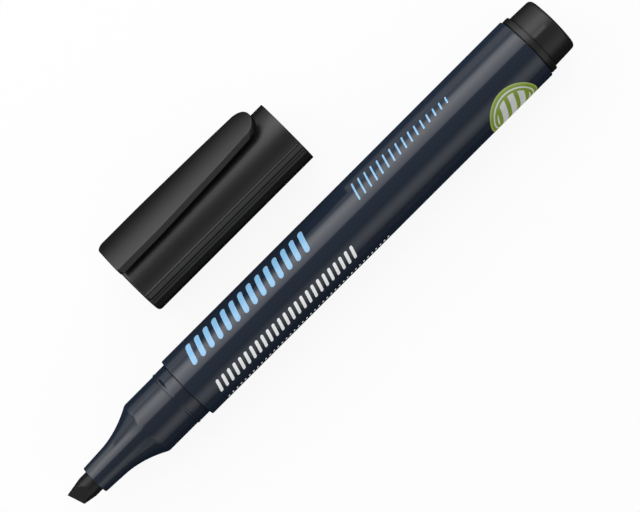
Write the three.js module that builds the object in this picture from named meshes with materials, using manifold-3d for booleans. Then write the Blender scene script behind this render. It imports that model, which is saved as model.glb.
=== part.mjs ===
// Permanent marker with a chisel nib, lying on its side with its cap taken off beside it.
// Millimetres, +Z up. The nib points toward -X and the plugged end toward +X.
// Along the pen, x runs from the barrel's front face; along the cap, from its closed end.
import * as THREE from 'three';
import { mergeVertices } from 'three/addons/utils/BufferGeometryUtils.js';
import Module from 'manifold-3d';

// Barrel
const barrelLength = 96;
const barrelFrontDiameter = 14.6;
const barrelDraft = 0.1; // how much larger the radius is at the rear end
const barrelWall = 1; // at the front face
const barrelEdge = 0.25; // chamfer round both outer ends

// Neck, flare and nozzle of the nib holder
const collarLength = 8; // the part pushed into the barrel
const neckStep = 0.78; // how far the neck lies below the barrel's surface
const neckRelief = 0.1; // how far the neck drops again in front of the bead
const neckLength = 11.4;
const beadDistance = 3; // barrel face to the snap bead
const beadWidth = 0.8;
const beadHeight = 0.08;
const flareLength = 9.65;
const nozzleLength = 5.05;
const nozzleDraft = 0.05; // millimetres of radius for each millimetre of length
const nozzleWall = 0.62;
const nozzleEdge = 0.15;
const holderWall = 1.5;

// Nib
const nibDiameter = 4.84;
const nibExposed = 5.7; // nozzle face to the middle of the writing edge
const nibShank = 1.35; // exposed length that is still full round
const nibEdgeWidth = 3.5;
const nibEdgeThickness = 0.9;
const nibSlant = 19; // degrees that the writing edge is cut away from square
const nibSink = 8; // how deep the tail stands in the ink reservoir

// Ink reservoir: a fibre rod in a film sleeve
const filmThickness = 0.2;

// Rear plug
const plugCollarLength = 8;
const plugWall = 1.2;
const flangeThickness = 1.6;
const flangeStep = 0.3; // how far the flange lies below the barrel's surface
const stubLength = 5.7; // flange to the rim of the domed end
const stubCorner = 0.9;
const crownHeight = 0.2;
const crownFlat = 5; // diameter of the flat in the middle of the end
const plugRibs = 4;
const ribLength = 3.1;
const ribWidth = 1.6;
const ribHeight = 0.13;
const ribSetback = 0.9; // flange to the start of a rib

// Cap
const capWall = 0.75; // at the mouth
const capEnd = 1.3;
const capInnerStep = 0.75; // how much smaller the bore is past the neck
const capStepLength = 1.3;
const capEdge = 0.6;
const capLip = 0.15;
const nibRoom = 8.3; // free length past the nib when the cap is on

// Relief lines moulded along the cap, in degrees round from the clip
const ridgeAngle = 72;
const grooveAngles = [85, 92];
const lineWidth = 0.3;
const ridgeHeight = 0.1;
const grooveDepth = 0.14;

// Clip
const clipSetback = 3; // clip tip to the cap's mouth
const clipRootLength = 9; // the part that is moulded fast to the cap
const clipRootWidth = 8.8;
const clipTipWidth = 6.3;
const clipCorner = 0.7; // cut off both corners at the closed end
const clipGap = 1.1; // cap to clip at the closed end
const clipRise = 0.45; // how much farther the underside stands off at the tip
const clipRootThickness = 1.5; // along its flanks
const clipTipThickness = 1.45;
const clipCrownRadius = 13;
const clipWebInset = 1.9; // web below the root, in from the flanks
const clipWebSetback = 0.5; // web below the root, in from the closed end
const flexGap = 0.3; // slot that stands for the line where the clip bends

// Seal inside the cap
const sealWall = 0.9;
const sealFloor = 1.2;
const sealOverlap = 1.8; // how far the seal reaches over the nozzle's straight part
const sealRing = 1;

// Clearances
const pressClearance = 0.25; // collars in the barrel's bore
const nibClearance = 0.2;
const filmClearance = 0.15;
const seatClearance = 0.3;
const capClearance = 0.05; // snap bead to the cap's bore
const postClearance = 0.06; // plug ribs to the cap's bore
const sealClearance = 0.25;
const reservoirClearance = 0.5; // end play of the fibre rod

// Where the cap lies
const capDistance = 7.35; // clear space between barrel and cap
const capSetback = 7; // barrel's front face to the cap's closed end
const clipTurn = 45; // degrees that the clip leans away from the pen

const sides = 48;
const far = 200; // reach of a cutting block, longer than any piece

// Sizes that follow from the ones above
const barrelFront = barrelFrontDiameter / 2;
const barrelRear = barrelFront + barrelDraft;
const barrelBore = barrelFront - barrelWall;
const neckRear = barrelFront - neckStep;
const neckFront = neckRear - neckRelief;
const nibRadius = nibDiameter / 2;
const nibBore = nibRadius + nibClearance;
const nozzleTip = nibBore + nozzleWall;
const noseLength = neckLength + flareLength + nozzleLength;
const nibReach = noseLength + nibExposed;
const nibCorner = (nibEdgeWidth / 2) * Math.tan(THREE.MathUtils.degToRad(nibSlant));
const reservoirStart = collarLength + reservoirClearance;
const reservoirEnd = barrelLength - plugCollarLength - reservoirClearance;
const filmRadius = barrelBore - seatClearance;
const fibreRadius = filmRadius - filmThickness - filmClearance;
const capBore = neckRear + beadHeight + capClearance;
const capRadius = capBore + capWall;
const capDeepBore = capBore - capInnerStep;
const capLength = nibReach + nibCorner + nibRoom + sealFloor + seatClearance + capEnd;
const stubRadius = capBore - postClearance - ribHeight;
const clipLength = capLength - clipSetback;

const wasm = await Module();
wasm.setup();

// A closed geometry as a solid that can be joined and cut
function solid(geometry) {
  geometry.deleteAttribute('normal');
  geometry.deleteAttribute('uv');
  const merged = mergeVertices(geometry);
  const corners = merged.index.array;
  const triangles = [];
  for (let i = 0; i < corners.length; i += 3) {
    const [a, b, c] = corners.slice(i, i + 3);
    if (a !== b && b !== c && c !== a) triangles.push(a, b, c);
  }
  return new wasm.Manifold(new wasm.Mesh({
    numProp: 3,
    vertProperties: new Float32Array(merged.attributes.position.array),
    triVerts: new Uint32Array(triangles),
  }));
}

// A piece turned about the X axis, from [x, radius] points in order of x
function turned(points) {
  const outline = points.map(([x, radius]) => new THREE.Vector2(radius, x));
  return solid(new THREE.LatheGeometry(outline, sides).rotateZ(-Math.PI / 2));
}

// A turned piece that is solid from end to end
function turnedSolid(points) {
  return turned([[points[0][0], 0], ...points, [points.at(-1)[0], 0]]);
}

// A round corner for a turned outline, from one angle to another in degrees
function corner(x, radius, size, from, to) {
  return [0, 1, 2, 3].map((step) => {
    const angle = THREE.MathUtils.degToRad(from + ((to - from) * step) / 3);
    return [x + size * Math.cos(angle), radius + size * Math.sin(angle)];
  });
}

function block(x, y, z) {
  const box = new THREE.BoxGeometry(x[1] - x[0], y[1] - y[0], z[1] - z[0]);
  return solid(box.translate((x[0] + x[1]) / 2, (y[0] + y[1]) / 2, (z[0] + z[1]) / 2));
}

// A narrow bar along X on a round surface, the given angle round from +Z
function bar(x, angle, width, lowRadius, highRadius) {
  const box = new THREE.BoxGeometry(x[1] - x[0], width, highRadius - lowRadius);
  box.translate((x[0] + x[1]) / 2, 0, (lowRadius + highRadius) / 2);
  return solid(box.rotateX(-THREE.MathUtils.degToRad(angle)));
}

function mesh(name, piece, color, roughness, metalness = 0) {
  const { numProp, vertProperties, triVerts } = piece.getMesh();
  const geometry = new THREE.BufferGeometry();
  geometry.setAttribute('position', new THREE.BufferAttribute(vertProperties, numProp));
  geometry.setIndex(new THREE.BufferAttribute(triVerts, 1));
  const faceted = geometry.toNonIndexed();
  faceted.computeVertexNormals();
  const material = new THREE.MeshStandardMaterial({ color, roughness, metalness });
  const result = new THREE.Mesh(faceted, material);
  result.name = name;
  return result;
}

// Barrel: a plain tube, a little wider toward the rear
function barrel() {
  return turned([
    [0, barrelBore],
    [0, barrelFront - barrelEdge],
    [barrelEdge, barrelFront],
    [barrelLength - barrelEdge, barrelRear],
    [barrelLength, barrelRear - barrelEdge],
    [barrelLength, barrelBore],
    [0, barrelBore],
  ]);
}

// Radius of the nose in front of the neck, at a distance ahead of the barrel's face
function noseRadius(distance) {
  const straight = nozzleTip + (noseLength - distance) * nozzleDraft;
  const flareTop = neckFront - nozzleTip - (flareLength + nozzleLength) * nozzleDraft;
  const left = Math.max(0, (neckLength + flareLength - distance) / flareLength);
  return straight + flareTop * left * left;
}

// Nib holder: a collar in the barrel, the neck with its snap bead, the flare and the nozzle
function nibHolder() {
  const flare = [];
  for (let step = 0; step <= 12; step += 1) {
    const distance = neckLength + (flareLength * step) / 12;
    flare.unshift([-distance, noseRadius(distance)]);
  }
  const bead = neckRear + beadHeight;
  const outside = turnedSolid([
    [-noseLength, nozzleTip - nozzleEdge],
    [-noseLength + nozzleEdge, noseRadius(noseLength - nozzleEdge)],
    ...flare,
    [-beadDistance - beadWidth, neckFront],
    [-beadDistance - beadWidth * 0.7, bead],
    [-beadDistance - beadWidth * 0.3, bead],
    [-beadDistance, neckRear],
    [0, neckRear],
    [0, barrelBore - pressClearance],
    [collarLength, barrelBore - pressClearance],
  ]);
  const collarBore = barrelBore - pressClearance - holderWall;
  const inside = turnedSolid([
    [-far, nibBore],
    [-neckLength, nibBore],
    [-neckLength + holderWall, collarBore],
    [far, collarBore],
  ]);
  return outside.subtract(inside);
}

// Nib: a felt rod with a slanted chisel edge in front and a tail that reaches into the ink
function nib() {
  const tail = reservoirStart + nibSink;
  const tipRadius = nibEdgeWidth / 2;
  const shankEnd = -noseLength - nibShank;
  const tip = -nibReach - nibCorner;
  const rod = turnedSolid([
    [tip, tipRadius],
    [shankEnd, nibRadius],
    [tail - nibRadius / 2, nibRadius],
    [tail, nibRadius / 2],
  ]);
  const wedgeLength = shankEnd + nibReach;
  const wedge = Math.atan2(nibRadius - nibEdgeThickness / 2, wedgeLength);
  const flats = [-1, 1].map((side) => {
    const cutter = new THREE.BoxGeometry(far, far, far);
    cutter.translate(0, 0, (side * far) / 2);
    cutter.rotateY(-side * wedge);
    return solid(cutter.translate(shankEnd, 0, side * nibRadius));
  });
  const slant = new THREE.BoxGeometry(far, far, far).translate(-far / 2, 0, 0);
  slant.rotateZ(THREE.MathUtils.degToRad(nibSlant));
  slant.translate(-nibReach, 0, 0);
  return rod.subtract(flats[0]).subtract(flats[1]).subtract(solid(slant));
}

// Ink reservoir: a fibre rod with a hole in front for the nib's tail
function inkReservoir() {
  const rod = turnedSolid([[reservoirStart, fibreRadius], [reservoirEnd, fibreRadius]]);
  const hole = turnedSolid([
    [reservoirStart - far, nibBore],
    [reservoirStart + nibSink + seatClearance, nibBore],
  ]);
  return rod.subtract(hole);
}

function reservoirWrap() {
  return turned([
    [reservoirStart, filmRadius - filmThickness],
    [reservoirStart, filmRadius],
    [reservoirEnd, filmRadius],
    [reservoirEnd, filmRadius - filmThickness],
    [reservoirStart, filmRadius - filmThickness],
  ]);
}

// Rear plug: a hollow collar in the barrel, a flange, and a domed stub that takes the cap
function rearPlug() {
  const flangeEnd = barrelLength + flangeThickness;
  const rim = flangeEnd + stubLength;
  const collar = barrelBore - pressClearance;
  const hollow = collar - plugWall;
  const outside = turnedSolid([
    [barrelLength - plugCollarLength, collar],
    [barrelLength, collar],
    [barrelLength, barrelRear - flangeStep],
    [flangeEnd - barrelEdge, barrelRear - flangeStep],
    [flangeEnd, barrelRear - flangeStep - barrelEdge],
    [flangeEnd, stubRadius],
    ...corner(rim - stubCorner, stubRadius - stubCorner, stubCorner, 90, 18),
    [rim + crownHeight, crownFlat / 2],
  ]);
  const inside = turnedSolid([
    [barrelLength - plugCollarLength - far, hollow],
    [rim - plugWall - stubCorner, hollow],
    [rim - plugWall, hollow - stubCorner],
  ]);
  let plug = outside;
  const ribStart = flangeEnd + ribSetback;
  for (let rib = 0; rib < plugRibs; rib += 1) {
    const top = stubRadius + ribHeight;
    const place = [ribStart, ribStart + ribLength];
    plug = plug.add(bar(place, (360 * rib) / plugRibs, ribWidth, hollow, top));
  }
  return plug.subtract(inside);
}

// The clip's whole tongue, over the cap with its outer face up
function clipTongue() {
  const rootHalf = clipRootWidth / 2;
  const tipHalf = clipTipWidth / 2;
  const bottom = capRadius + clipGap;
  const tipCentre = clipLength - tipHalf;

  const plan = new THREE.Shape();
  plan.moveTo(0, clipCorner - rootHalf);
  plan.lineTo(clipCorner, -rootHalf);
  plan.lineTo(tipCentre, -tipHalf);
  plan.absarc(tipCentre, 0, tipHalf, -Math.PI / 2, Math.PI / 2);
  plan.lineTo(clipCorner, rootHalf);
  plan.lineTo(0, rootHalf - clipCorner);
  const fromAbove = new THREE.ExtrudeGeometry(plan, {
    depth: far, bevelEnabled: false, curveSegments: 12,
  });

  const side = new THREE.Shape();
  side.moveTo(0, bottom);
  side.lineTo(clipLength, bottom + clipRise);
  side.lineTo(clipLength, far);
  side.lineTo(0, far);
  const fromSide = new THREE.ExtrudeGeometry(side, { depth: far, bevelEnabled: false });
  fromSide.translate(0, 0, -far / 2).rotateX(Math.PI / 2);

  // The crown is a slice of a large cylinder that passes over both flanks
  const crownTop = (half) => clipCrownRadius - Math.sqrt(clipCrownRadius ** 2 - half ** 2);
  const rootTop = bottom + clipRootThickness + crownTop(rootHalf);
  const tipTop = bottom + clipRise + clipTipThickness + crownTop(tipHalf);
  const crown = new THREE.CylinderGeometry(clipCrownRadius, clipCrownRadius, far, sides * 3);
  crown.rotateZ(Math.PI / 2).rotateY(-Math.atan2(tipTop - rootTop, clipLength));
  crown.translate(0, 0, rootTop - clipCrownRadius);

  return solid(fromAbove).intersect(solid(fromSide)).intersect(solid(crown));
}

// Cap: a closed sleeve with the clip's root moulded to it and relief lines on both flanks
function capShell(tongue) {
  const body = turnedSolid([
    ...corner(capEdge, capRadius - capEdge, capEdge, 180, 90),
    [capLength - capLip, capRadius],
    [capLength, capRadius - capLip],
  ]);
  const neckDepth = neckLength + seatClearance;
  const bore = turnedSolid([
    [capEnd, capDeepBore],
    [capLength - neckDepth - capStepLength, capDeepBore],
    [capLength - neckDepth, capBore],
    [capLength + far, capBore],
  ]);
  const webHalf = clipRootWidth / 2 - clipWebInset;
  const rootEnd = clipRootLength - flexGap / 2;
  const webTop = capRadius + clipGap + clipRootThickness / 2;
  const web = block([clipWebSetback, rootEnd], [-webHalf, webHalf], [0, webTop]);
  const root = tongue.intersect(block([-far, rootEnd], [-far, far], [0, far]));
  let shell = body.add(web).add(root).subtract(bore);
  for (const side of [-1, 1]) {
    const ridge = [capEdge, capLength - capLip];
    const low = capRadius - capWall / 2;
    shell = shell.add(bar(ridge, side * ridgeAngle, lineWidth, low, capRadius + ridgeHeight));
    for (const angle of grooveAngles) {
      const floor = capRadius - grooveDepth;
      shell = shell.subtract(bar([-far, far], side * angle, lineWidth, floor, far));
    }
  }
  return shell;
}

function capClip(tongue) {
  const start = clipRootLength + flexGap / 2;
  return tongue.intersect(block([start, far], [-far, far], [0, far]));
}

// Seal: a soft cup that closes over the nozzle, held in the cap's bore by two rings
function capInnerSeal() {
  const start = capEnd + seatClearance;
  const mouth = capLength - neckLength - flareLength - nozzleLength + sealOverlap;
  const overlap = noseLength - sealOverlap;
  const bore = noseRadius(overlap) + sealClearance;
  const cup = bore + sealWall;
  const ring = capDeepBore - sealClearance;
  const outside = turnedSolid([
    [start, ring],
    [start + sealRing, ring],
    [start + sealRing, cup],
    [mouth - 2 * sealRing, cup],
    [mouth - 2 * sealRing, ring],
    [mouth - sealRing, ring],
    [mouth - sealRing, cup],
    [mouth, cup],
  ]);
  return outside.subtract(turnedSolid([[start + sealFloor, bore], [mouth + far, bore]]));
}

const navy = '#1c2230';
const black = '#17181a';
const tongue = clipTongue();

const pen = new THREE.Group();
pen.add(
  mesh('barrel', barrel(), navy, 0.25),
  mesh('nib_holder', nibHolder(), navy, 0.28),
  mesh('nib', nib(), '#131315', 0.95),
  mesh('ink_reservoir', inkReservoir(), '#201f24', 1),
  mesh('reservoir_wrap', reservoirWrap(), '#d8d8d4', 0.4),
  mesh('rear_plug', rearPlug(), black, 0.55),
);

const cap = new THREE.Group();
cap.add(
  mesh('cap_shell', capShell(tongue), black, 0.5),
  mesh('cap_clip', capClip(tongue), black, 0.5),
  mesh('cap_inner_seal', capInnerSeal(), '#d9d9d6', 0.6),
);
cap.rotation.x = -THREE.MathUtils.degToRad(clipTurn);

// Both lie on the table, side by side, and the origin is below the middle of the pair
pen.position.set(0, 0, barrelRear);
cap.position.set(capSetback, barrelRear + capDistance + capRadius, capRadius);

const marker = new THREE.Group();
marker.add(pen, cap);
marker.updateMatrixWorld(true);
const box = new THREE.Box3().setFromObject(marker, true);
const centre = box.getCenter(new THREE.Vector3());
for (const half of [pen, cap]) half.position.sub(new THREE.Vector3(centre.x, centre.y, 0));
marker.updateMatrixWorld(true);

export default marker;
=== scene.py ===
from math import atan2, cos, degrees, pi, radians, sin, sqrt, tan

import bmesh
import bpy
from mathutils import Matrix, Vector


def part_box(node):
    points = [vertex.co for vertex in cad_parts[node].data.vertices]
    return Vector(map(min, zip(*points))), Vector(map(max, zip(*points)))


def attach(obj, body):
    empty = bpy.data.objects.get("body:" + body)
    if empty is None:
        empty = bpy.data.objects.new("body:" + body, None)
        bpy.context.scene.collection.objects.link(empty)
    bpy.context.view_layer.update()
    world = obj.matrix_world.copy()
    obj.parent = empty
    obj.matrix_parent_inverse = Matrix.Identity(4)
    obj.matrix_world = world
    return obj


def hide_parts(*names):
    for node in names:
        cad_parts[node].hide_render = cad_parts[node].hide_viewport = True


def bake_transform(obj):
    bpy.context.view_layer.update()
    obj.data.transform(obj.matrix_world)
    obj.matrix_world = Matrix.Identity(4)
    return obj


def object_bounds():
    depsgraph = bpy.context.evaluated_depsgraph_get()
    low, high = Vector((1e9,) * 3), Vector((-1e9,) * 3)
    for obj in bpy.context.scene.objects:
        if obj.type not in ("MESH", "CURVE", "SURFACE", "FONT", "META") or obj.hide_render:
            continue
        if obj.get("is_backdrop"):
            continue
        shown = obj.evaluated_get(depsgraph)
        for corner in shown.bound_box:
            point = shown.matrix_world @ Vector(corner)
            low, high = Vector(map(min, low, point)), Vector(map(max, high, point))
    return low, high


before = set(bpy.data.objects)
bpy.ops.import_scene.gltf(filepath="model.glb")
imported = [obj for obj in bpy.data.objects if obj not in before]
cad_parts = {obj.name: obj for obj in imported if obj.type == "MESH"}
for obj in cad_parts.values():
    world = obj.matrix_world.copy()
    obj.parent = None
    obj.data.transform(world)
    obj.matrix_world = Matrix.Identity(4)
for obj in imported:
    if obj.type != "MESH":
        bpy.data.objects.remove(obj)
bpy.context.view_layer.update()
mm = 0.001


# Barrel
# A moulded tube of glossy dark blue plastic, a little wider toward the rear and open at
# both ends. Rows of light blue and white marks and a green disc are printed on it.
barrel_low, barrel_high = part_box("barrel")
barrel_front, barrel_rear = barrel_low.x, barrel_high.x
pen_y = (barrel_low.y + barrel_high.y) / 2
pen_z = (barrel_low.z + barrel_high.z) / 2
barrel_taper = 0.1 * mm
barrel_wall = 1 * mm
barrel_edge = 0.22 * mm
barrel_rear_radius = pen_z - barrel_low.z
barrel_front_radius = barrel_rear_radius - barrel_taper
barrel_bore = barrel_front_radius - barrel_wall
barrel_blue = (0.0118, 0.0178, 0.0305, 1)
hairline_depth = 0.002 * mm
gloss_by_angle = [
    (0, 1),
    (0.13, 1),
    (0.16, 0.78),
    (0.195, 0.46),
    (0.29, 0.47),
    (0.35, 0.64),
    (0.415, 0.38),
    (0.48, 0.07),
    (0.53, 0),
]
handling_wear = 0.12

# The print lies in millimetres over the skin, from the barrel's front end and from the
# line along its top. Its inks stand a few times as high as the skin's hairlines.
print_blue = (0.215, 0.435, 0.66, 1)
print_white = (0.9, 0.91, 0.92, 1)
print_start = 4.4
ink_relief = 4.0
badge_green = (0.2, 0.292, 0.037, 1)
badge_rim = (0.32, 0.41, 0.1, 1)
badge_pale = (0.62, 0.63, 0.62, 1)
badge_along = 85.6
badge_across = -8.65
badge_radius = 6.2
badge_rim_start = 5.9
badge_ring_radius = 5.15
badge_ring_half = 0.16
badge_bars_radius = 4.4


def turned(outline, axis=(pen_y, pen_z), steps=144, closed=False):
    """Spin an outline of (x, radius) points once round a line along X."""
    form = bmesh.new()
    centre = Vector((0, *axis))
    corners = [form.verts.new((x, axis[0], axis[1] + radius)) for x, radius in outline]
    sides = [form.edges.new(pair) for pair in zip(corners, corners[1:])]
    if closed:
        sides.append(form.edges.new((corners[-1], corners[0])))
    bmesh.ops.spin(
        form,
        geom=corners + sides,
        cent=centre,
        axis=(1, 0, 0),
        dvec=(0, 0, 0),
        angle=2 * pi,
        steps=steps,
        use_merge=True,
    )
    bmesh.ops.remove_doubles(form, verts=form.verts, dist=1e-7)
    bmesh.ops.recalc_face_normals(form, faces=form.faces)
    return form


def soften(form, width, where=lambda edge: True, segments=3, sharpness=radians(20)):
    """Round the sharp edges that the test picks."""
    sharp = [
        edge
        for edge in form.edges
        if len(edge.link_faces) == 2 and edge.calc_face_angle() > sharpness and where(edge)
    ]
    bmesh.ops.bevel(
        form,
        geom=sharp,
        offset=width,
        offset_type="OFFSET",
        segments=segments,
        profile=0.5,
        affect="EDGES",
        clamp_overlap=True,
        material=-1,
    )


def set_down(name, form, node, finish):
    """Make the form an object that stands for its CAD node."""
    mesh = bpy.data.meshes.new(name)
    form.to_mesh(mesh)
    form.free()
    mesh.shade_smooth()
    mesh.set_sharp_from_angle(angle=radians(35))
    mesh.materials.append(finish.material)
    made = bpy.data.objects.new(name, mesh)
    bpy.context.scene.collection.objects.link(made)
    shading = made.modifiers.new("even shading", "WEIGHTED_NORMAL")
    shading.keep_sharp = True
    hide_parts(node)
    return made


class Signal:
    """A shader socket that takes part in sums."""

    def __init__(self, finish, socket):
        self.finish = finish
        self.socket = socket

    def maths(self, operation, *others):
        """Add a Math node whose first value is this one."""
        values = dict(enumerate((self, *others)))
        return self.finish.add("ShaderNodeMath", {"operation": operation}, values)

    def __add__(self, other):
        return self.maths("ADD", other)

    def __sub__(self, other):
        return self.maths("SUBTRACT", other)

    def __rsub__(self, other):
        return self.maths("MULTIPLY_ADD", -1.0, other)

    def __mul__(self, other):
        return self.maths("MULTIPLY", other)

    def __truediv__(self, other):
        return self.maths("DIVIDE", other)

    def __lt__(self, other):
        return self.maths("LESS_THAN", other)

    def __gt__(self, other):
        return self.maths("GREATER_THAN", other)

    def __abs__(self):
        return self.maths("ABSOLUTE")

    __radd__ = __add__
    __rmul__ = __mul__


class Finish:
    """A surface's material, built round one Principled shader."""

    def __init__(self, name, **constants):
        self.material = bpy.data.materials.new(name)
        self.material.use_nodes = True
        self.tree = self.material.node_tree
        self.shader = self.tree.nodes["Principled BSDF"]
        self.place = self.add("ShaderNodeTexCoord", output="Object")
        self.wire(**constants)

    def wire(self, **sockets):
        """Set or link the shader's sockets, with _ for a space in their names."""
        for name, value in sockets.items():
            self.plug(self.shader.inputs[name.replace("_", " ")], value)

    def plug(self, socket, value):
        """Link a signal to a socket, or set the socket to a plain value."""
        if isinstance(value, Signal):
            self.tree.links.new(value.socket, socket)
        else:
            socket.default_value = value

    def add(self, kind, settings=None, sockets=None, output=0):
        """Add a node of any type, with its settings first and then its sockets."""
        node = self.tree.nodes.new(kind)
        for name, value in (settings or {}).items():
            if name == "stops":
                ramp = node.color_ramp
                while len(ramp.elements) < len(value):
                    ramp.elements.new(1)
                for element, (position, level) in zip(ramp.elements, value):
                    element.position = position
                    element.color = (level, level, level, 1)
            else:
                setattr(node, name, value)
        for name, value in (sockets or {}).items():
            self.plug(node.inputs[name], value)
        return Signal(self, node.outputs[output])

    def stretched(self, *scales):
        """The place, with each direction scaled for a pattern."""
        sockets = {0: self.place, 1: scales}
        return self.add("ShaderNodeVectorMath", {"operation": "MULTIPLY"}, sockets)

    def noise(self, place, detail=3.0, roughness=0.55):
        sockets = {"Vector": place, "Scale": 1.0, "Detail": detail, "Roughness": roughness}
        return self.add("ShaderNodeTexNoise", sockets=sockets)

    def mix(self, share, first, second):
        """A colour between two colours, by the numbers of the node's colour sockets."""
        sockets = {0: share, 6: first, 7: second}
        return self.add("ShaderNodeMix", {"data_type": "RGBA"}, sockets, output=2)

    def bump(self, height, distance, strength):
        sockets = {"Height": height, "Distance": distance, "Strength": strength}
        return self.add("ShaderNodeBump", sockets=sockets)


def moulded_gloss(finish, roughness, clarity=1.0, shine=gloss_by_angle):
    """A moulded skin, whose shine dies away where it is seen edge on."""
    facing = finish.add("ShaderNodeLayerWeight", sockets={"Blend": 0.5}, output="Facing")
    fade = finish.add("ShaderNodeValToRGB", {"stops": shine}, {"Fac": facing})
    handling = finish.noise(finish.stretched(90, 160, 160), detail=4)
    finish.wire(
        Specular_IOR_Level=0.0,
        Coat_Roughness=roughness,
        Coat_IOR=1.6,
        Coat_Weight=fade * (clarity - handling_wear * handling),
    )


def shade(colour, share):
    """The same colour, darker or lighter."""
    return tuple(share * level for level in colour)


def bars(start, pitch, count, low, high, radius, taper=0.0, lean=0.25, place=None):
    """A row of leaning bars with round ends, each shorter than the last by twice the taper."""
    run, side = place or (along, across)
    middle = (low + high) / 2
    turn = (run - start - (side - middle) * lean) / pitch
    aside = (turn.maths("FRACT") - 0.5) * pitch
    half = (high - low) / 2 - turn.maths("FLOOR") * taper
    beyond = (abs(side - middle) - (half - radius)).maths("MAXIMUM", 0.0)
    reach = (aside * aside + beyond * beyond).maths("SQRT")
    return (reach < radius) * (turn > 0.0) * (turn < float(count))


barrel_form = turned(
    [
        (barrel_front, barrel_bore),
        (barrel_front, barrel_front_radius),
        (barrel_rear, barrel_rear_radius),
        (barrel_rear, barrel_bore),
    ],
    closed=True,
)
soften(barrel_form, barrel_edge)

skin = Finish("barrel_plastic", Roughness=0.5)
moulded_gloss(skin, roughness=0.11)
spot = skin.add("ShaderNodeSeparateXYZ", sockets={0: skin.place})
spot_x, spot_y, spot_z = (Signal(skin, socket) for socket in spot.socket.node.outputs)
along = (spot_x - barrel_front) * (1 / mm)
across = (spot_y - pen_y).maths("ARCTAN2", spot_z - pen_z) * (barrel_rear_radius / mm)

wide_blue = bars(print_start, pitch=2.42, count=14, low=2.1, high=7.3, radius=0.62)
fine_blue = bars(start=50.6, pitch=1.7, count=16, low=2.2, high=6.4, radius=0.2, taper=0.09)
wide_white = bars(print_start, pitch=1.56, count=25, low=-6.2, high=-3.1, radius=0.36)
fine_white = bars(print_start, pitch=1.15, count=40, low=-9.9, high=-9.2, radius=0.2)
blue_ink = wide_blue + fine_blue
white_ink = wide_white + fine_white

badge_x, badge_y = along - badge_along, across - badge_across
badge_reach = (badge_x * badge_x + badge_y * badge_y).maths("SQRT")
badge = badge_reach < badge_radius
badge_rows = bars(
    start=-6, pitch=2.4, count=5, low=-9, high=9, radius=0.72, place=(badge_x, badge_y)
)
badge_bars = badge_rows * (badge_reach < badge_bars_radius)
badge_ring = abs(badge_reach - badge_ring_radius) < badge_ring_half

cloud = skin.noise(skin.stretched(60, 60, 60))
blue = skin.mix(cloud, shade(barrel_blue, 0.9), shade(barrel_blue, 1.1))
colour = skin.mix(blue_ink, blue, print_blue)
colour = skin.mix(white_ink, colour, print_white)
badge_ground = skin.mix(badge_reach > badge_rim_start, badge_green, badge_rim)
colour = skin.mix(badge, colour, badge_ground)
colour = skin.mix(badge_bars + badge_ring, colour, badge_pale)
ink = (blue_ink + white_ink + badge).maths("MINIMUM", 1.0)
hairlines = skin.noise(skin.stretched(40, 5000, 5000), detail=2)
relief_height = hairlines + ink_relief * ink
skin.wire(Base_Color=colour, Normal=skin.bump(relief_height, hairline_depth, 0.4))

barrel = set_down("barrel_tube", barrel_form, "barrel", skin)
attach(barrel, "marker")


# Nib holder
# One turned moulding in the barrel's plastic: a collar pressed into the barrel, a hollow
# neck with a snap bead and two notches behind it, a concave flare, and the nozzle that
# grips the nib.
collar_length = 8 * mm
collar_clearance = 0.25 * mm
collar_radius = barrel_bore - collar_clearance
holder_wall = 1.5 * mm
neck_step = 0.78 * mm
neck_taper = 0.1 * mm
neck_rear = barrel_front_radius - neck_step
neck_front = neck_rear - neck_taper
neck_length = 11.4 * mm
neck_edge = 0.02 * mm
groove_width = 0.14 * mm
groove_depth = 0.1 * mm
bead_distance = 2.55 * mm
bead_width = 0.8 * mm
bead_height = 0.08 * mm
bead_root = 0.05 * mm
bead_run_out = 0.14 * mm

# The bead's outline, as shares of its width ahead of its place and the radius at each.
bead_profile = (
    (1.05, neck_front),
    (0.8, neck_rear + bead_height),
    (0.35, neck_rear + bead_height),
    (0.1, neck_rear - bead_root),
)

notch_depth = 0.23 * mm
notch_angle = radians(43)
notch_half_angle = radians(14)
shoulder_round = 0.7 * mm
flare_length = 9.65 * mm
flare_points = 28
nozzle_length = 5.05 * mm
nozzle_draft = 0.05
nozzle_tip = 3.24 * mm
nozzle_edge = 0.16 * mm
nib_bore = 2.5 * mm
nose_length = neck_length + flare_length + nozzle_length
nozzle_face = barrel_front - nose_length

# Points this near to a face or ring count as on it.
near = 0.1 * mm


def nose_radius(distance):
    """Radius of the flare and nozzle, at a distance ahead of the barrel."""
    straight = nozzle_tip + (nose_length - distance) * nozzle_draft
    top = neck_front - nozzle_tip - (flare_length + nozzle_length) * nozzle_draft
    left = max(0, (neck_length + flare_length - distance) / flare_length)
    return straight + top * left * left


def outward(point, axis=(pen_y, pen_z)):
    """The way straight out to a point from a line along X."""
    return Vector((0, point.y - axis[0], point.z - axis[1]))


nose = [(-nose_length, nib_bore), (-nose_length, nose_radius(nose_length))]
for step in range(flare_points + 1):
    distance = neck_length + flare_length * (1 - step / flare_points)
    nose.append((-distance, nose_radius(distance)))
nose += [(-bead_distance - bead_width * share, radius) for share, radius in bead_profile]
nose += [
    (-bead_distance + bead_run_out, neck_rear),
    (-groove_width, neck_rear),
    (-groove_width, neck_rear - groove_depth),
    (0, neck_rear - groove_depth),
    (0, collar_radius),
    (collar_length, collar_radius),
    (collar_length, collar_radius - holder_wall),
    (-neck_length + holder_wall, collar_radius - holder_wall),
    (-neck_length, nib_bore),
]
holder_form = turned([(barrel_front + x, radius) for x, radius in nose], closed=True)
soften(holder_form, nozzle_edge, lambda edge: edge.verts[0].co.x < nozzle_face + near)
soften(
    holder_form,
    neck_edge,
    lambda edge: edge.verts[0].co.x > barrel_front - neck_length / 2,
    segments=2,
)
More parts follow.
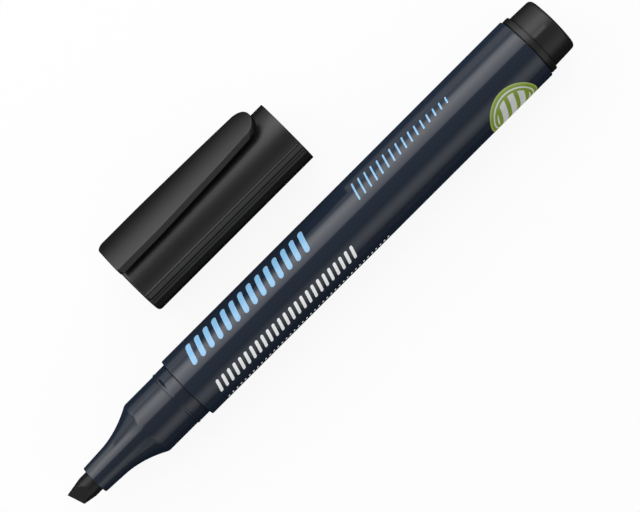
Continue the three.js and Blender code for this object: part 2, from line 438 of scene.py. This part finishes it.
soften(
    holder_form,
    shoulder_round,
    lambda edge: abs(edge.verts[0].co.x - barrel_front + neck_length) < near
    and outward(edge.verts[0].co).length > (nib_bore + neck_front) / 2,
    segments=6,
)

notch_place = barrel_front - bead_distance - bead_width * bead_profile[-1][0]
for vertex in holder_form.verts:
    out = outward(vertex.co)
    aside = (atan2(out.y, out.z) % pi - notch_angle) / notch_half_angle
    behind_bead = abs(vertex.co.x - notch_place) < near and out.length > collar_radius
    if behind_bead and abs(aside) < 1:
        vertex.co -= out.normalized() * notch_depth * (1 - aside**2)

holder_skin = Finish("holder_plastic", Roughness=0.5)
moulded_gloss(holder_skin, roughness=0.13)
cloud = holder_skin.noise(holder_skin.stretched(70, 70, 70))
hairlines = holder_skin.noise(holder_skin.stretched(60, 4000, 4000), detail=2)
holder_skin.wire(
    Base_Color=holder_skin.mix(cloud, shade(barrel_blue, 0.76), barrel_blue),
    Normal=holder_skin.bump(hairlines, hairline_depth, 0.4),
)
holder = set_down("nose_and_neck", holder_form, "nib_holder", holder_skin)
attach(holder, "marker")


# Nib
# A rod of pressed felt soaked with black ink, cut in front to two flats and a slanted edge.
# It is pushed into the nozzle and its tail stands in the ink store.
nib_low, nib_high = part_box("nib")
nib_radius = 2.42 * mm
nib_shank = 2 * mm
nib_tip_radius = 1.68 * mm
nib_edge_thickness = 0.9 * mm
nib_slant = radians(19)
nib_reach = 5.45 * mm
nib_tail = 1.2 * mm
nib_edge = 0.09 * mm
shank_end = nozzle_face - nib_shank
felt_black = (0.0045, 0.0045, 0.005, 1)
felt_grey = (0.0165, 0.0165, 0.0178, 1)
felt_gloss = [(0, 1), (0.12, 1), (0.2, 0.7), (0.3, 0.2), (0.45, 0)]


def cut(form, point, normal):
    """Slice the form off beyond a plane and close the cut."""
    sliced = bmesh.ops.bisect_plane(
        form,
        geom=[*form.verts, *form.edges, *form.faces],
        dist=1e-8,
        plane_co=point,
        plane_no=normal,
        clear_outer=True,
    )
    rim = [part for part in sliced["geom_cut"] if isinstance(part, bmesh.types.BMEdge)]
    bmesh.ops.holes_fill(form, edges=rim)


nib_form = turned(
    [
        (nib_low.x, 0),
        (nib_low.x, nib_tip_radius),
        (shank_end, nib_radius),
        (nib_high.x - nib_tail, nib_radius),
        (nib_high.x, nib_radius / 2),
        (nib_high.x, 0),
    ],
    steps=72,
)
wedge_angle = atan2(nib_radius - nib_edge_thickness / 2, nib_reach - nib_shank)
for side in (-1, 1):
    flat_start = (shank_end, pen_y, pen_z + side * nib_radius)
    cut(nib_form, flat_start, (-sin(wedge_angle), 0, side * cos(wedge_angle)))
cut(nib_form, (nozzle_face - nib_reach, pen_y, pen_z), (-cos(nib_slant), -sin(nib_slant), 0))
soften(nib_form, nib_edge, segments=2)

felt = Finish("nib_felt", Roughness=0.9)
moulded_gloss(felt, roughness=0.36, clarity=0.46, shine=felt_gloss)
fibres = felt.noise(felt.stretched(900, 7000, 7000), detail=5, roughness=0.65)
clumps = felt.noise(felt.stretched(700, 1500, 1500), detail=3)
felt.wire(
    Base_Color=felt.mix(fibres, felt_black, felt_grey),
    Roughness=0.72 + 0.25 * clumps,
    Normal=felt.bump(fibres + 0.6 * clumps, 0.05 * mm, 0.7),
)
nib = set_down("chisel_nib", nib_form, "nib", felt)
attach(nib, "marker")


# Ink store
# A rod of bonded fibre full of ink, in a sleeve of thin film. Both are hidden in the barrel
# and keep their plain solids.
fibre_black = (0.006, 0.006, 0.008, 1)
fibre_violet = (0.03, 0.028, 0.036, 1)
film_dull = (0.58, 0.58, 0.56, 1)
film_pale = (0.72, 0.72, 0.7, 1)

fibre = Finish("ink_fibre", Roughness=0.95, Specular_IOR_Level=0.2)
strands = fibre.noise(fibre.stretched(120, 6000, 6000), detail=4)
fibre.wire(
    Base_Color=fibre.mix(strands, fibre_black, fibre_violet),
    Normal=fibre.bump(strands, 0.06 * mm, 0.6),
)
film = Finish("wrap_film", Roughness=0.4)
creases = film.noise(film.stretched(200, 900, 900), detail=3)
film.wire(
    Base_Color=film.mix(creases, film_dull, film_pale),
    Roughness=0.3 + 0.25 * creases,
    Normal=film.bump(creases, 0.03 * mm, 0.5),
)
for node, finish in (("ink_reservoir", fibre), ("reservoir_wrap", film)):
    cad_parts[node].data.materials.clear()
    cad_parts[node].data.materials.append(finish.material)


# Rear plug
# A satin black moulding: a hollow collar pressed into the barrel, a flange, and a stub with
# a domed end and three low ribs that hold the cap when it is pushed on behind.
plug_low, plug_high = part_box("rear_plug")
plug_collar = plug_low.x
plug_wall = 1.2 * mm
hollow_radius = collar_radius - plug_wall
seam_width = 0.16 * mm
seam_depth = 0.35 * mm
flange_radius = barrel_rear_radius - 0.3 * mm
flange_end = barrel_rear + 1.6 * mm
flange_edge = 0.22 * mm
stub_radius = 6.42 * mm
stub_root = 6.58 * mm
stub_groove_width = 0.12 * mm
stub_groove_depth = 0.06 * mm
stub_corner = 0.9 * mm
stub_corner_end = radians(18)
stub_corner_points = 8
plug_rim = flange_end + 5.7 * mm
dome_radius = 4.4 * mm
dome_rise = 0.12 * mm
dome_flat = 2.5 * mm
rib_start = flange_end + 0.2 * mm
rib_end = rib_start + 3.5 * mm
rib_spacing = radians(120)
rib_half_angle = radians(7.5)
rib_height = 0.13 * mm
rib_slope = 0.3 * mm
plug_black = (0.0075, 0.0075, 0.008, 1)
plug_grey = (0.012, 0.012, 0.0125, 1)
plug_gloss = [
    (0, 1),
    (0.03, 0.99),
    (0.07, 0.88),
    (0.128, 0.78),
    (0.21, 0.66),
    (0.32, 0.42),
    (0.49, 0.11),
    (0.6, 0),
]
grain_depth = 0.006 * mm


def satin_black(name, clarity, shine, grain_scale, cloud_scale, dark, light):
    """A black moulding with a fine grain, duller than the barrel."""
    finish = Finish(name, Roughness=0.6)
    moulded_gloss(finish, roughness=0.36, clarity=clarity, shine=shine)
    grain = finish.noise(finish.stretched(grain_scale, grain_scale, grain_scale), detail=4)
    cloud = finish.noise(finish.stretched(cloud_scale, cloud_scale, cloud_scale))
    finish.wire(
        Base_Color=finish.mix(cloud, dark, light),
        Normal=finish.bump(grain, grain_depth, 0.5),
    )
    return finish


plug_outline = [
    (plug_collar, hollow_radius),
    (plug_collar, collar_radius),
    (barrel_rear, collar_radius),
    (barrel_rear, flange_radius - seam_depth),
    (barrel_rear + seam_width, flange_radius - seam_depth),
    (barrel_rear + seam_width, flange_radius),
    (flange_end, flange_radius),
    (flange_end, stub_root - stub_groove_depth),
    (flange_end + stub_groove_width, stub_root - stub_groove_depth),
    (flange_end + stub_groove_width + stub_groove_depth, stub_root),
]
for x in (rib_start, rib_start + rib_slope, rib_end - rib_slope, rib_end):
    run = (x - flange_end) / (plug_rim - flange_end)
    plug_outline.append((x, stub_root + (stub_radius - stub_root) * run))
for step in range(stub_corner_points + 1):
    left = 1 - step / stub_corner_points
    angle = stub_corner_end + (pi / 2 - stub_corner_end) * left
    x = plug_rim - stub_corner + stub_corner * cos(angle)
    plug_outline.append((x, stub_radius - stub_corner + stub_corner * sin(angle)))
plug_outline += [
    (plug_rim + dome_rise, dome_radius),
    (plug_high.x, dome_flat),
    (plug_high.x, 0),
    (plug_rim - plug_wall, 0),
    (plug_rim - plug_wall, hollow_radius - stub_corner),
    (plug_rim - plug_wall - stub_corner, hollow_radius),
    (plug_collar, hollow_radius),
]
plug_form = turned(plug_outline)
for vertex in plug_form.verts:
    out = outward(vertex.co)
    aside = (atan2(out.y, out.z) + rib_spacing / 2) % rib_spacing - rib_spacing / 2
    on_skin = out.length > (hollow_radius + stub_radius) / 2
    between_ends = rib_start + near < vertex.co.x < rib_end - near
    if on_skin and between_ends and abs(aside) < rib_half_angle:
        height = rib_height * (1 - (aside / rib_half_angle) ** 2)
        vertex.co += out.normalized() * height
soften(
    plug_form,
    flange_edge,
    lambda edge: edge.verts[0].co.x > barrel_rear
    and outward(edge.verts[0].co).length > flange_radius - near,
)

plug_skin = satin_black("plug_plastic", 0.83, plug_gloss, 3500, 150, plug_black, plug_grey)
plug = set_down("end_plug", plug_form, "rear_plug", plug_skin)
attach(plug, "marker")


# Cap
# A satin black sleeve, closed and flat at one end, with fine lines moulded along both
# flanks. It is built with its clip upward, then turned and laid beside the barrel.
cap_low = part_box("cap_shell")[0]
cap_radius = 7.4 * mm
cap_length = 43.5 * mm
cap_wall = 0.75 * mm
cap_end = 1.3 * mm
cap_neck_depth = 11.7 * mm
cap_bore_step = 0.75 * mm
cap_bore_slope = 1.3 * mm
cap_deep_bore = cap_radius - cap_wall - cap_bore_step
cap_edge = 0.8 * mm
cap_mouth_edge = 0.14 * mm
cap_y = cap_low.y + cap_radius
cap_z = cap_low.z + cap_radius
clip_lean = radians(45)
cap_black = (0.007, 0.007, 0.0075, 1)
cap_grey = (0.0115, 0.0115, 0.012, 1)
cap_gloss = [
    (0, 1),
    (0.15, 1),
    (0.2, 0.93),
    (0.3, 0.58),
    (0.42, 0.34),
    (0.56, 0.06),
    (0.68, 0),
]

# Each moulded line has its angle from the clip, its height in millimetres, below the skin
# where it is negative, and half its width in degrees.
relief = ((73, 0.2, 2), (87, -0.16, 3), (93, -0.2, 3))
line_start = 0.1 * mm
line_end = cap_length - 0.6 * mm
line_fade = 0.3 * mm


def lay_cap(form):
    """Turn a form that was built with the clip upward, and lay it where the cap lies."""
    turn = Matrix.Rotation(-clip_lean, 4, "X")
    place = Matrix.Translation((cap_low.x, cap_y, cap_z))
    bmesh.ops.transform(form, matrix=place @ turn, verts=form.verts)


cap_form = turned(
    [
        (0, 0),
        (0, cap_radius),
        (line_end, cap_radius),
        (line_end + line_fade, cap_radius),
        (cap_length, cap_radius),
        (cap_length, cap_radius - cap_wall),
        (cap_length - cap_neck_depth, cap_radius - cap_wall),
        (cap_length - cap_neck_depth - cap_bore_slope, cap_deep_bore),
        (cap_end, cap_deep_bore),
        (cap_end, 0),
    ],
    axis=(0, 0),
    steps=360,
)
soften(cap_form, cap_edge, lambda edge: max(v.co.x for v in edge.verts) < near, segments=5)
soften(
    cap_form,
    cap_mouth_edge,
    lambda edge: min(v.co.x for v in edge.verts) > cap_length - near,
)
for vertex in cap_form.verts:
    out = outward(vertex.co, axis=(0, 0))
    round_from_clip = abs(degrees(atan2(out.y, out.z)))
    on_skin = out.length > cap_radius - cap_wall / 2
    if on_skin and line_start < vertex.co.x < line_end + near:
        for angle, height, half_angle in relief:
            share = max(0, 1 - abs(round_from_clip - angle) / half_angle)
            vertex.co += out.normalized() * height * mm * share
lay_cap(cap_form)

cap_skin = satin_black("cap_plastic", 0.87, cap_gloss, 3200, 120, cap_black, cap_grey)
cap = set_down("cap_sleeve", cap_form, "cap_shell", cap_skin)
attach(cap, "cap")


# Clip
# The tongue is moulded in one with the cap: a web below its first stretch holds it, and
# the rest is free, so that the real clip bends outward over a pocket or a notebook. Here
# it is built rigid, as it rests.
clip_length = cap_length - 3.15 * mm
clip_root_half = 4.5 * mm
clip_tip_half = 3.4 * mm
clip_near_corner = 0.6 * mm
clip_far_corner = 1.8 * mm
clip_corner_points = 24
clip_root_length = 9 * mm
clip_gap = 0.96 * mm
clip_rise = 0.65 * mm
clip_root_thickness = 1.59 * mm
clip_tip_thickness = 1.32 * mm
clip_draft = 0.16 * mm
clip_crown = 13 * mm
clip_edge = 0.14 * mm
clip_sole_edge = 0.06 * mm
clip_slices_along = 30
clip_slices_across = 8
clip_gloss = [
    (0, 0.94),
    (0.09, 0.92),
    (0.13, 0.85),
    (0.2, 0.75),
    (0.29, 0.44),
    (0.38, 0.19),
    (0.46, 0.04),
    (0.52, 0),
]
web_start = 0.6 * mm
web_half = 2.5 * mm
web_closed_half = 3.1 * mm
web_low = cap_deep_bore + 0.3 * mm
web_edge = 0.3 * mm

# The flanks draw in along these points, each with its distance from the closed end and
# half the clip's width there, in millimetres.
clip_flanks = ((11, 4.5), (19.7, 4.2), (27.7, 3.9), (31.7, 3.7))


def crown_drop(aside):
    """How far the clip's outer face falls from its middle line."""
    return clip_crown - sqrt(clip_crown**2 - aside**2)


def corner(x, aside, radius, first, last):
    """Points round a corner of the clip, between two angles in degrees."""
    points = []
    for step in range(clip_corner_points + 1):
        angle = radians(first + (last - first) * step / clip_corner_points)
        points.append((x + radius * cos(angle), aside + radius * sin(angle)))
    return points


clip_bottom = cap_radius + clip_gap
root_top = clip_bottom + clip_root_thickness + crown_drop(clip_root_half)
tip_top = clip_bottom + clip_rise + clip_tip_thickness + crown_drop(clip_tip_half)

plan = corner(clip_near_corner, clip_near_corner - clip_root_half, clip_near_corner, 180, 270)
plan += [(run * mm, -half * mm) for run, half in clip_flanks]
plan += corner(clip_length - clip_tip_half, 0, clip_tip_half, -90, 90)
plan += [(run * mm, half * mm) for run, half in reversed(clip_flanks)]
plan += corner(clip_far_corner, clip_root_half - clip_far_corner, clip_far_corner, 90, 180)

clip_form = bmesh.new()
sole = clip_form.faces.new([clip_form.verts.new((x, aside, 0)) for x, aside in plan])
raised = bmesh.ops.extrude_face_region(clip_form, geom=[sole])
lifted = [part for part in raised["geom"] if isinstance(part, bmesh.types.BMVert)]
bmesh.ops.translate(clip_form, verts=lifted, vec=(0, 0, clip_root_thickness))
bmesh.ops.recalc_face_normals(clip_form, faces=clip_form.faces)
soften(clip_form, clip_edge, lambda edge: max(v.co.z for v in edge.verts) > near)
soften(
    clip_form,
    clip_sole_edge,
    lambda edge: max(v.co.z for v in edge.verts) < near,
    segments=2,
)
slices = [
    ((clip_length * step / clip_slices_along, 0, 0), (1, 0, 0))
    for step in range(1, clip_slices_along)
]
slices += [
    ((0, clip_root_half * step / clip_slices_across, 0), (0, 1, 0))
    for step in range(1 - clip_slices_across, clip_slices_across)
]
for point, normal in slices:
    bmesh.ops.bisect_plane(
        clip_form,
        geom=[*clip_form.verts, *clip_form.edges, *clip_form.faces],
        plane_co=point,
        plane_no=normal,
    )
for vertex in clip_form.verts:
    run = vertex.co.x / clip_length
    low = clip_bottom + clip_rise * run
    high = root_top + (tip_top - root_top) * run - crown_drop(vertex.co.y)
    level = vertex.co.z / clip_root_thickness
    vertex.co.y *= 1 + clip_draft / clip_root_half * (1 - level)
    vertex.co.z = low + (high - low) * level
lay_cap(clip_form)

clip_skin = satin_black("clip_plastic", 0.87, clip_gloss, 3200, 120, cap_black, cap_grey)
clip = set_down("cap_tongue", clip_form, "cap_clip", clip_skin)
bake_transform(clip)

web_form = bmesh.new()
bmesh.ops.create_cube(web_form, size=1)
web_top = clip_bottom + clip_root_thickness / 2
web_middle = ((web_start + clip_root_length) / 2, 0, (web_low + web_top) / 2)
web_size = (clip_root_length - web_start, 2 * web_half, web_top - web_low, 1)
bmesh.ops.transform(
    web_form,
    matrix=Matrix.Translation(web_middle) @ Matrix.Diagonal(web_size),
    verts=web_form.verts,
)
for vertex in web_form.verts:
    if vertex.co.x < web_start + near:
        vertex.co.y *= web_closed_half / web_half
soften(web_form, web_edge)
lay_cap(web_form)
web = set_down("clip_web", web_form, "cap_shell", cap_skin)
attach(web, "cap")


# Inner seal
# A soft milky cup deep in the cap. It closes over the nozzle so that the nib stays wet, and
# two rings hold it in the cap's bore.
seal_low, seal_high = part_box("cap_inner_seal")
seal_ring = (seal_high.z - seal_low.z) / 2
seal_ring_width = 1 * mm
seal_floor = 1.2 * mm
seal_bore = 3.58 * mm
seal_wall = 0.9 * mm
seal_cup = seal_bore + seal_wall
seal_edge = 0.12 * mm
seal_milky = (0.6, 0.6, 0.57, 1)
seal_pale = (0.72, 0.72, 0.69, 1)

seal_form = turned(
    [
        (seal_low.x, 0),
        (seal_low.x, seal_ring),
        (seal_low.x + seal_ring_width, seal_ring),
        (seal_low.x + seal_ring_width, seal_cup),
        (seal_high.x - 2 * seal_ring_width, seal_cup),
        (seal_high.x - 2 * seal_ring_width, seal_ring),
        (seal_high.x - seal_ring_width, seal_ring),
        (seal_high.x - seal_ring_width, seal_cup),
        (seal_high.x, seal_cup),
        (seal_high.x, seal_bore),
        (seal_low.x + seal_floor, seal_bore),
        (seal_low.x + seal_floor, 0),
    ],
    axis=(cap_y, cap_z),
    steps=96,
)
soften(seal_form, seal_edge)
seal_skin = Finish("seal_plastic", Roughness=0.45, Subsurface_Weight=0.15)
haze = seal_skin.noise(seal_skin.stretched(300, 300, 300))
seal_skin.wire(
    Base_Color=seal_skin.mix(haze, seal_milky, seal_pale),
    Normal=seal_skin.bump(haze, 0.02 * mm, 0.3),
)
seal = set_down("seal_cup", seal_form, "cap_inner_seal", seal_skin)
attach(seal, "cap")


# Studio
# The marker and its cap lie on a pale floor, whose rim is turned up, under one long softbox
# on the cap's side and a weaker one opposite. The camera looks straight down, with the
# marker on the diagonal.
floor_radius = 8.0
floor_rim = 0.8
floor_form = bmesh.new()
bmesh.ops.create_circle(floor_form, cap_ends=True, segments=96, radius=floor_radius)
edge_ring = [edge for edge in floor_form.edges if edge.is_boundary]
rim = bmesh.ops.extrude_edge_only(floor_form, edges=edge_ring)
rim_top = [part for part in rim["geom"] if isinstance(part, bmesh.types.BMVert)]
bmesh.ops.translate(floor_form, verts=rim_top, vec=(0, 0, floor_rim))
floor_mesh = bpy.data.meshes.new("floor")
floor_form.to_mesh(floor_mesh)
floor_form.free()
floor = bpy.data.objects.new("floor", floor_mesh)
bpy.context.scene.collection.objects.link(floor)
floor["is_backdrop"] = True

# The camera and the gloss see the floor nearly white, and it lights the marker as a plain
# pale grey floor does.
whiteness = 0.91
pale_grey = (0.8, 0.8, 0.8, 1)
pale = Finish("pale_floor", Base_Color=pale_grey, Roughness=1.0, Specular_IOR_Level=0.0)
path = pale.add("ShaderNodeLightPath").socket.node.outputs
seen = Signal(pale, path["Is Camera Ray"]) + Signal(pale, path["Is Glossy Ray"])
seen = (seen + Signal(pale, path["Is Transmission Ray"])).maths("MINIMUM", 1.0)
white = pale.add("ShaderNodeEmission", sockets={"Color": (1, 1, 1, 1), "Strength": 1.0})
shown = pale.add(
    "ShaderNodeMixShader",
    sockets={0: seen * whiteness, 1: Signal(pale, pale.shader.outputs[0]), 2: white},
)
pale.tree.links.new(shown.socket, pale.tree.nodes["Material Output"].inputs["Surface"])
floor_mesh.materials.append(pale.material)


def softbox(name, nearest, farthest, radiance, start=-1.5, end=1.5, distance=0.5):
    """A lamp along X, seen from the barrel between two angles from straight up, + toward +Y."""
    length = end - start
    middle = radians((nearest + farthest) / 2)
    width = 2 * distance * tan(radians(farthest - nearest) / 2)
    lamp = bpy.data.lights.new(name, "AREA")
    lamp.shape = "RECTANGLE"
    lamp.size = length
    lamp.size_y = width
    lamp.energy = radiance * pi * length * width
    back = Vector((0, sin(middle), cos(middle)))
    placed = bpy.data.objects.new(name, lamp)
    centre = Vector(((start + end) / 2, pen_y, pen_z)) + back * distance
    placed.matrix_world = Matrix.Translation(centre) @ Matrix(
        (Vector((1, 0, 0)), back.cross(Vector((1, 0, 0))), back)
    ).transposed().to_4x4()
    placed.visible_camera = False
    bpy.context.scene.collection.objects.link(placed)


# Each softbox is made of strips, with the two angles between which each is seen and its
# radiance. Two short cards brighten the neck and the nozzle.
key_bands = (
    (13.5, 19, 1.05),
    (19, 26, 1.37),
    (26, 33, 1.62),
    (33, 41, 2.0),
    (41, 54, 2.42),
    (54, 62, 2.1),
    (62, 68, 1.45),
    (68, 88, 0.95),
)
side_bands = (
    (-40, -33, 0.2),
    (-47, -40, 0.42),
    (-62, -47, 0.63),
    (-70, -62, 0.84),
    (-76, -70, 0.94),
    (-84, -76, 0.6),
)
for nearest, farthest, radiance in key_bands + side_bands:
    softbox(f"softbox_{nearest}", nearest, farthest, radiance)
softbox("neck_card", 63, 92, 0.5, start=-0.25, end=-0.062, distance=0.49)
softbox("nozzle_card", 63, 98, 1.2, start=-0.25, end=-0.088, distance=0.48)

# A dark card lies beside the marker, on the side away from the cap, with its far edge bent
# up. Only the gloss shows it, and it keeps that flank dark.
flag_length = 1.2
flag_width = 0.4
flag_clear = 10 * mm
flag_lift = 0.5 * mm
flag_height = 55 * mm
card_grey = (0.11, 0.11, 0.11, 1)
flag_form = bmesh.new()
bmesh.ops.create_grid(flag_form, x_segments=1, y_segments=1, size=0.5)
flag_middle = Vector((0, pen_y - flag_clear - flag_width / 2, flag_lift))
flag_size = Matrix.Diagonal((flag_length, flag_width, 1, 1))
bmesh.ops.transform(
    flag_form,
    matrix=Matrix.Translation(flag_middle) @ flag_size,
    verts=flag_form.verts,
)
far_side = [edge for edge in flag_form.edges if max(v.co.y for v in edge.verts) < flag_middle.y]
upright = bmesh.ops.extrude_edge_only(flag_form, edges=far_side)
upright_top = [part for part in upright["geom"] if isinstance(part, bmesh.types.BMVert)]
bmesh.ops.translate(flag_form, verts=upright_top, vec=(0, 0, flag_height))
flag_mesh = bpy.data.meshes.new("black_flag")
flag_form.to_mesh(flag_mesh)
flag_form.free()
flag = bpy.data.objects.new("black_flag", flag_mesh)
flag.visible_camera = flag.visible_diffuse = False
flag.visible_shadow = flag.visible_transmission = False
bpy.context.scene.collection.objects.link(flag)
black = Finish("black_card", Base_Color=card_grey, Roughness=1.0, Specular_IOR_Level=0.0)
flag_mesh.materials.append(black.material)
flag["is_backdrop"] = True

# A wide lamp overhead, which the gloss doesn't show, and a dim world fill the shadows.
fill = bpy.data.lights.new("overhead_fill", "AREA")
fill.shape = "DISK"
fill.size = 1.6
fill.energy = 5.0
overhead = bpy.data.objects.new("overhead_fill", fill)
overhead.location = (0, 0, 1.5)
overhead.visible_camera = overhead.visible_glossy = False
bpy.context.scene.collection.objects.link(overhead)

world = bpy.data.worlds.new("studio")
world.use_nodes = True
world.node_tree.nodes["Background"].inputs["Color"].default_value = (1, 1, 1, 1)
world.node_tree.nodes["Background"].inputs["Strength"].default_value = 0.15
bpy.context.scene.world = world

camera_height = 0.698
camera_x = barrel_front + 37.41 * mm
camera_y = pen_y - 0.15 * mm
photo_width = 640
pixels_per_metre = 5000
lens = bpy.data.cameras.new("camera")
lens.sensor_width = 36
lens.lens = camera_height * pixels_per_metre / photo_width * lens.sensor_width
lens.clip_start, lens.clip_end = 0.01, 50
camera = bpy.data.objects.new("camera", lens)
camera.location = (camera_x, camera_y, pen_z + camera_height)
camera.rotation_euler = (0, 0, radians(-45))
bpy.context.scene.collection.objects.link(camera)
bpy.context.scene.camera = camera
bpy.context.scene.view_settings.view_transform = "Standard"

bpy.context.view_layer.update()
low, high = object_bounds()
